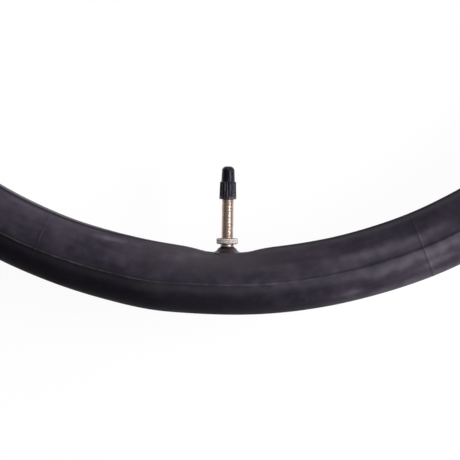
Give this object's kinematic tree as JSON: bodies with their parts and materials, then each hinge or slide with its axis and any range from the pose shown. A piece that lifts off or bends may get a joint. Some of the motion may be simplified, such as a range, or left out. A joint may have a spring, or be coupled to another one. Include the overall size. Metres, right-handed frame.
{
  "type": "bicycle inner tube",
  "caption": "Rubber bicycle inner tube, lightly inflated, with a threaded narrow valve, its core, knurled lock nut and ribbed dust cap.",
  "frame": {"origin": "centre of the ring, midway through its thickness", "axes": "+Z along the ring's axis, up when the ring lies flat; +Y along the valve stem, from the tube towards the ring's centre"},
  "size_m": [0.5659, 0.566, 0.0357],
  "materials": {
    "tube_rubber": "moulded butyl, satin, lightly dusted",
    "boot_rubber": "moulded rubber, smooth",
    "plated_brass": "nickel plated, bright",
    "plated_nut": "nickel plated, bright",
    "core_brass": "nickel plated, bright",
    "seal_rubber": "moulded rubber, smooth",
    "cap_plastic": "moulded, semi-gloss"
  },
  "bodies": {
    "tube_and_stem": {"tube": "tube_rubber", "valve_boot": "boot_rubber", "stem": "plated_brass", "core_body": "core_brass", "core_gasket": "seal_rubber"},
    "lock_nut": {"lock_nut": "plated_nut"},
    "cap": {"cap": "cap_plastic"},
    "pin_nut": {"pin_nut": "core_brass"},
    "valve_pin": {"core_pin": "core_brass", "seat_seal": "seal_rubber", "seal_retainer": "core_brass"}
  },
  "joints": [
    {"name": "lock_nut_run", "type": "slide", "parent": "tube_and_stem", "child": "lock_nut", "axis": [0, 1, 0], "range_m": [0, 0.0208]},
    {"name": "cap_pull", "type": "slide", "parent": "tube_and_stem", "child": "cap", "axis": [0, 1, 0], "range_m": [0, 0.025]},
    {"name": "pin_nut_turn", "type": "hinge", "parent": "tube_and_stem", "child": "pin_nut", "pos_m": [0, -0.2072, 0], "axis": [0, 1, 0], "range_deg": [0, 1800]},
    {"name": "pin_press", "type": "slide", "parent": "tube_and_stem", "child": "valve_pin", "axis": [0, 1, 0], "range_m": [-0.002, 0]}
  ],
  "couplings": [
    {"joint": "pin_nut_turn", "follows": "pin_press", "rad_per_m": -15708}
  ]
}
